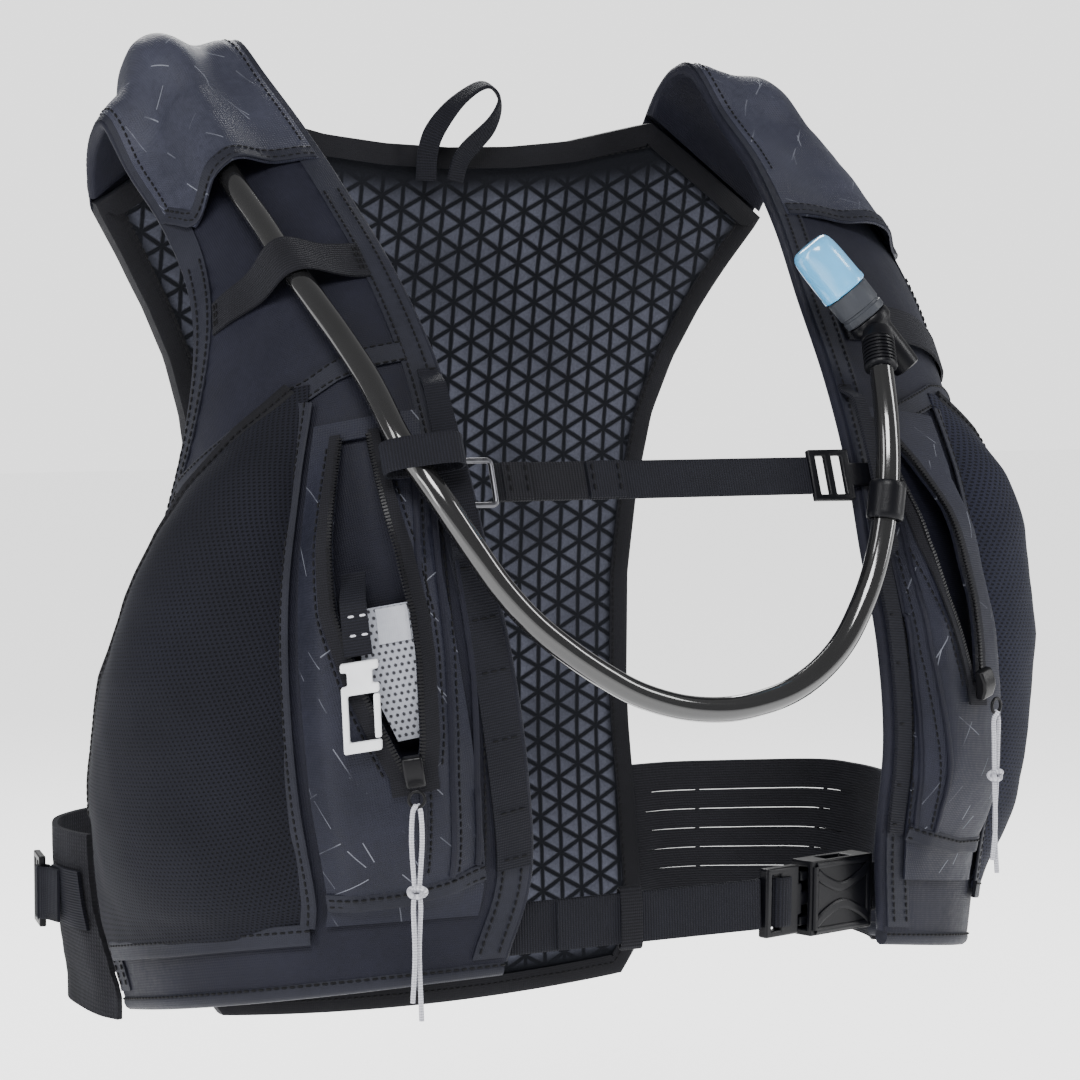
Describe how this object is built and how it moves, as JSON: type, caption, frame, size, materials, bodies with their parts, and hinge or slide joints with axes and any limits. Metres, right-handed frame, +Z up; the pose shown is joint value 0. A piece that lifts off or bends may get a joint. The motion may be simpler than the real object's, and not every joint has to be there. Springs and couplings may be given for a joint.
{
  "type": "hydration pack",
  "caption": "Vest-style hydration pack with front zip and mesh pockets, drinking hose and bite valve, chest strap, buckled waist strap and a bladder in the rear compartment.",
  "frame": {"origin": "the middle of the wearer's shoulders: mid-plane, mid-torso depth, at the height of the straps' top", "axes": "+Z up, -Y the way the wearer faces, +X the wearer's left"},
  "size_m": [0.4118, 0.3281, 0.4172],
  "materials": {
    "bladder": "translucent film",
    "blue_cap": "translucent cap",
    "elastic": "matt ribbed elastic",
    "foam_pad": "matt embossed mesh over foam",
    "grey_cord": "braided cord",
    "grey_mesh": "perforated mesh",
    "hose": "glossy translucent tube",
    "moulded_black": "satin moulded",
    "pale_plastic": "smooth moulded",
    "ripstop": "matt woven ripstop",
    "silicone": "satin silicone",
    "spacer_mesh": "matt knitted spacer mesh",
    "steel": "bent wire",
    "stretch_mesh": "matt stretch mesh",
    "webbing": "matt woven webbing",
    "zip_black": "coil zip and slider"
  },
  "bodies": {
    "pack": {"back_binding": "elastic", "back_pad": "foam_pad", "buckle_male": "moulded_black", "hang_loop": "webbing", "hose": "hose", "hose_clip": "moulded_black", "hose_loop": "webbing", "key_tab": "webbing", "left_front_panel": "spacer_mesh", "left_hem_binding": "webbing", "left_hook_strip": "webbing", "left_hose_elastic": "elastic", "left_mesh_pocket": "stretch_mesh", "left_side_webbing": "webbing", "left_side_wing": "elastic", "left_tunnel_flap": "ripstop", "left_zip_pocket": "ripstop", "left_zip_tape": "zip_black", "light_loop": "webbing", "pocket_divider": "grey_mesh", "port_elbow": "moulded_black", "rear_mesh_pocket": "stretch_mesh", "rear_shell": "ripstop", "rear_zip_tape": "zip_black", "reservoir": "bladder", "reservoir_port": "moulded_black", "reservoir_slide": "moulded_black", "right_front_panel": "spacer_mesh", "right_hem_binding": "webbing", "right_hook_strip": "webbing", "right_hose_elastic": "elastic", "right_mesh_pocket": "stretch_mesh", "right_side_webbing": "webbing", "right_side_wing": "spacer_mesh", "right_tunnel_flap": "ripstop", "right_zip_pocket": "ripstop", "right_zip_tape": "zip_black", "valve_elbow": "moulded_black", "waist_webbing": "webbing"},
    "right_slider": {"right_zip_slider": "zip_black"},
    "right_pull": {"right_zip_pull": "grey_cord"},
    "left_slider": {"left_zip_slider": "zip_black"},
    "left_pull": {"left_zip_pull": "grey_cord"},
    "rear_slider": {"rear_zip_slider": "zip_black"},
    "rear_pull": {"rear_zip_pull": "grey_cord"},
    "key_hook": {"key_hook": "pale_plastic"},
    "key_gate": {"key_gate": "pale_plastic"},
    "chest_strap": {"chest_strap_hook": "steel", "chest_elastic": "elastic", "chest_webbing": "webbing", "chest_ladder_lock": "moulded_black"},
    "waist_keeper": {"waist_keeper": "elastic"},
    "buckle_socket": {"buckle_female": "moulded_black", "waist_stub": "webbing"},
    "prong_upper": {"buckle_prong_upper": "moulded_black"},
    "prong_lower": {"buckle_prong_lower": "moulded_black"},
    "bite_valve": {"bite_valve": "silicone"},
    "dust_cap": {"dust_cap": "blue_cap"},
    "right_side_lock": {"right_side_lock": "moulded_black"},
    "left_side_lock": {"left_side_lock": "moulded_black"}
  },
  "joints": [
    {"name": "right_zip_travel", "type": "hinge", "parent": "pack", "child": "right_slider", "pos_m": [-0.05669, -0.00537, -0.23771], "axis": [-0.8971, 0.4139, -0.1547], "range_deg": [0, 46.5]},
    {"name": "right_pull_swing", "type": "hinge", "parent": "right_slider", "child": "right_pull", "pos_m": [-0.11052, -0.13943, -0.2858], "axis": [-0.9259, 0.3778, 0], "range_deg": [0, 70]},
    {"name": "left_zip_travel", "type": "hinge", "parent": "pack", "child": "left_slider", "pos_m": [0.08791, 0.00494, -0.2434], "axis": [-0.9196, -0.3061, -0.2464], "range_deg": [0, 39.6]},
    {"name": "left_pull_swing", "type": "hinge", "parent": "left_slider", "child": "left_pull", "pos_m": [0.14171, -0.13965, -0.26618], "axis": [-0.94, -0.3412, 0], "range_deg": [0, 70]},
    {"name": "rear_zip_travel", "type": "hinge", "parent": "pack", "child": "rear_slider", "pos_m": [0, -0.13907, -0.03873], "axis": [0, -0.1652, -0.9863], "range_deg": [0, 37]},
    {"name": "rear_pull_swing", "type": "hinge", "parent": "rear_slider", "child": "rear_pull", "pos_m": [-0.08736, 0.10377, -0.07648], "axis": [0.9714, 0.2274, 0.0685], "range_deg": [0, 55]},
    {"name": "key_hook_swing", "type": "hinge", "parent": "pack", "child": "key_hook", "pos_m": [-0.12864, -0.12962, -0.23706], "axis": [-0.867, 0.472, -0.1599], "range_deg": [0, 60]},
    {"name": "key_gate_press", "type": "hinge", "parent": "key_hook", "child": "key_gate", "pos_m": [-0.12298, -0.13235, -0.24872], "axis": [0.4746, 0.8799, 0.0237], "range_deg": [0, 18], "stiffness_Nm_per_rad": 0.02, "springref_deg": -2.86},
    {"name": "chest_strap_height", "type": "slide", "parent": "pack", "child": "chest_strap", "axis": [-0.0018, -0.3408, -0.9401], "range_m": [-0.012, 0.011]},
    {"name": "waist_keeper_slide", "type": "slide", "parent": "pack", "child": "waist_keeper", "axis": [0.9937, -0.1086, 0.0268], "range_m": [-0.03, 0.03]},
    {"name": "buckle_release", "type": "slide", "parent": "pack", "child": "buckle_socket", "axis": [0.9549, 0.2959, -0.0235], "range_m": [0, 0.03]},
    {"name": "buckle_prong_upper_press", "type": "hinge", "parent": "pack", "child": "prong_upper", "pos_m": [0.06625, -0.11212, -0.3341], "axis": [-0.296, 0.9552, 0], "range_deg": [0, 6], "stiffness_Nm_per_rad": 0.06, "springref_deg": -1.15},
    {"name": "buckle_prong_lower_press", "type": "hinge", "parent": "pack", "child": "prong_lower", "pos_m": [0.06585, -0.11225, -0.35189], "axis": [0.296, -0.9552, 0], "range_deg": [0, 6]},
    {"name": "valve_swivel", "type": "hinge", "parent": "pack", "child": "bite_valve", "pos_m": [0.116, -0.1135, -0.1345], "axis": [-0.5867, 0.2537, 0.769], "continuous": true},
    {"name": "dust_cap_pull", "type": "slide", "parent": "bite_valve", "child": "dust_cap", "axis": [-0.5867, 0.2537, 0.769], "range_m": [0, 0.03]},
    {"name": "right_side_lock_tilt", "type": "hinge", "parent": "pack", "child": "right_side_lock", "pos_m": [-0.18817, 0.05413, -0.3465], "axis": [0, 0, 1], "range_deg": [0, 35]},
    {"name": "left_side_lock_tilt", "type": "hinge", "parent": "pack", "child": "left_side_lock", "pos_m": [0.20669, 0.05288, -0.3465], "axis": [0, 0, -1], "range_deg": [0, 35]}
  ],
  "couplings": [
    {"joint": "buckle_prong_lower_press", "follows": "buckle_prong_upper_press", "ratio": 1}
  ]
}
